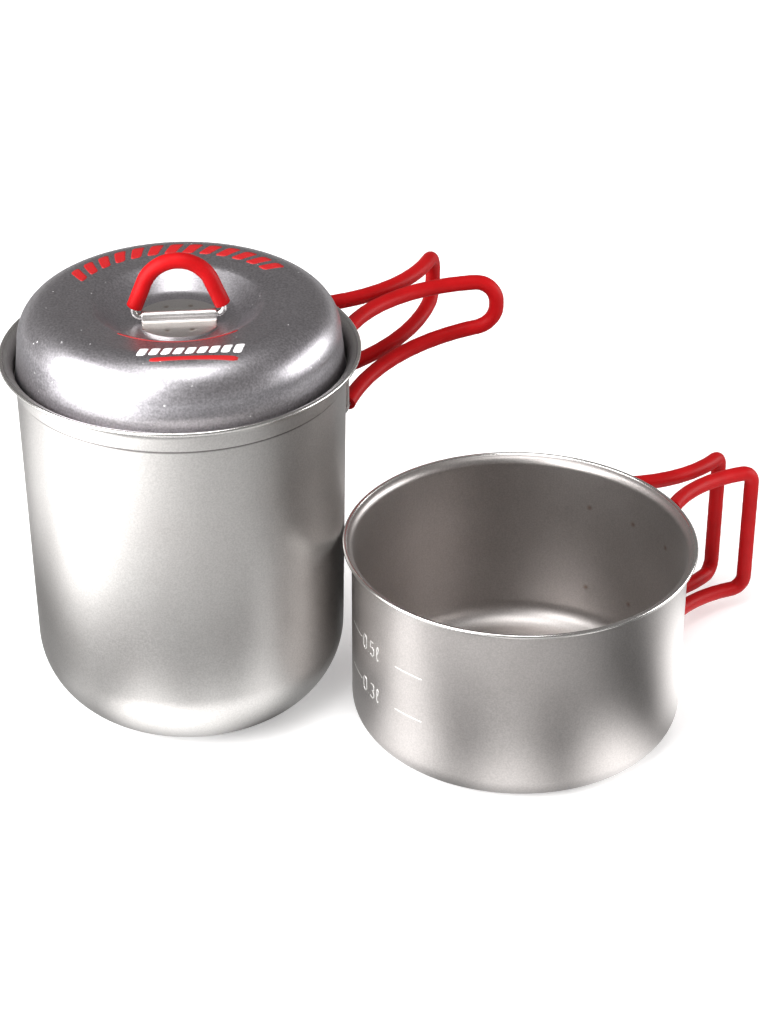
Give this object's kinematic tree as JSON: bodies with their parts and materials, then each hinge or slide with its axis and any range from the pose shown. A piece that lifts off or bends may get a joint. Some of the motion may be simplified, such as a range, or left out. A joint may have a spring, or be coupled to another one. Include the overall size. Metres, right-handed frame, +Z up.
{
  "type": "camping cook set",
  "caption": "Titanium camp cook set: a lidded deep pot and a shallow pan that nests with it, with folding sleeved wire handles and a folding lid bail.",
  "frame": {"origin": "centre of the deep pot's base, on the surface that the set stands on", "axes": "+Z up; +X from the deep pot's axis to the pan's; both handles point between +X and +Y"},
  "size_m": [0.2704, 0.1825, 0.1779],
  "materials": {
    "titanium": "bead-blasted satin titanium",
    "bracket": "satin formed titanium",
    "wire": "drawn wire",
    "silicone": "satin silicone"
  },
  "bodies": {
    "pot": {"pot_shell": "titanium", "pot_bracket": "bracket"},
    "lid": {"lid_shell": "titanium", "knob_bracket": "bracket"},
    "bail": {"bail_wire": "wire", "bail_sleeve": "silicone"},
    "pan": {"pan_shell": "titanium", "pan_bracket": "bracket"},
    "pot_wing_near": {"pot_wire_near": "wire", "pot_sleeve_near": "silicone"},
    "pot_wing_far": {"pot_wire_far": "wire", "pot_sleeve_far": "silicone"},
    "pan_wing_near": {"pan_wire_near": "wire", "pan_sleeve_near": "silicone"},
    "pan_wing_far": {"pan_wire_far": "wire", "pan_sleeve_far": "silicone"}
  },
  "joints": [
    {"name": "lid_lift", "type": "slide", "parent": "pot", "child": "lid", "axis": [0, 0, 1], "range_m": [0, 0.1]},
    {"name": "bail_fold", "type": "hinge", "parent": "lid", "child": "bail", "pos_m": [0, 0, 0.1543], "axis": [0.9744, 0.225, 0], "range_deg": [-70, 70]},
    {"name": "pan_lift", "type": "slide", "parent": "pot", "child": "pan", "axis": [0.5, 0, 0.866], "range_m": [0, 0.14]},
    {"name": "pot_wing_near_fold", "type": "hinge", "parent": "pot", "child": "pot_wing_near", "pos_m": [0.05223, 0.03523, 0.1157], "axis": [0, 0, 1], "range_deg": [-140, 0]},
    {"name": "pot_wing_far_fold", "type": "hinge", "parent": "pot", "child": "pot_wing_far", "pos_m": [0.02662, 0.0571, 0.1157], "axis": [0, 0, 1], "range_deg": [0, 140]},
    {"name": "pan_wing_near_fold", "type": "hinge", "parent": "pan", "child": "pan_wing_near", "pos_m": [0.17356, 0.03797, 0.0388], "axis": [0, 0, 1], "range_deg": [-134, 0]},
    {"name": "pan_wing_far_fold", "type": "hinge", "parent": "pan", "child": "pan_wing_far", "pos_m": [0.15063, 0.05756, 0.0388], "axis": [0, 0, 1], "range_deg": [0, 134]}
  ]
}
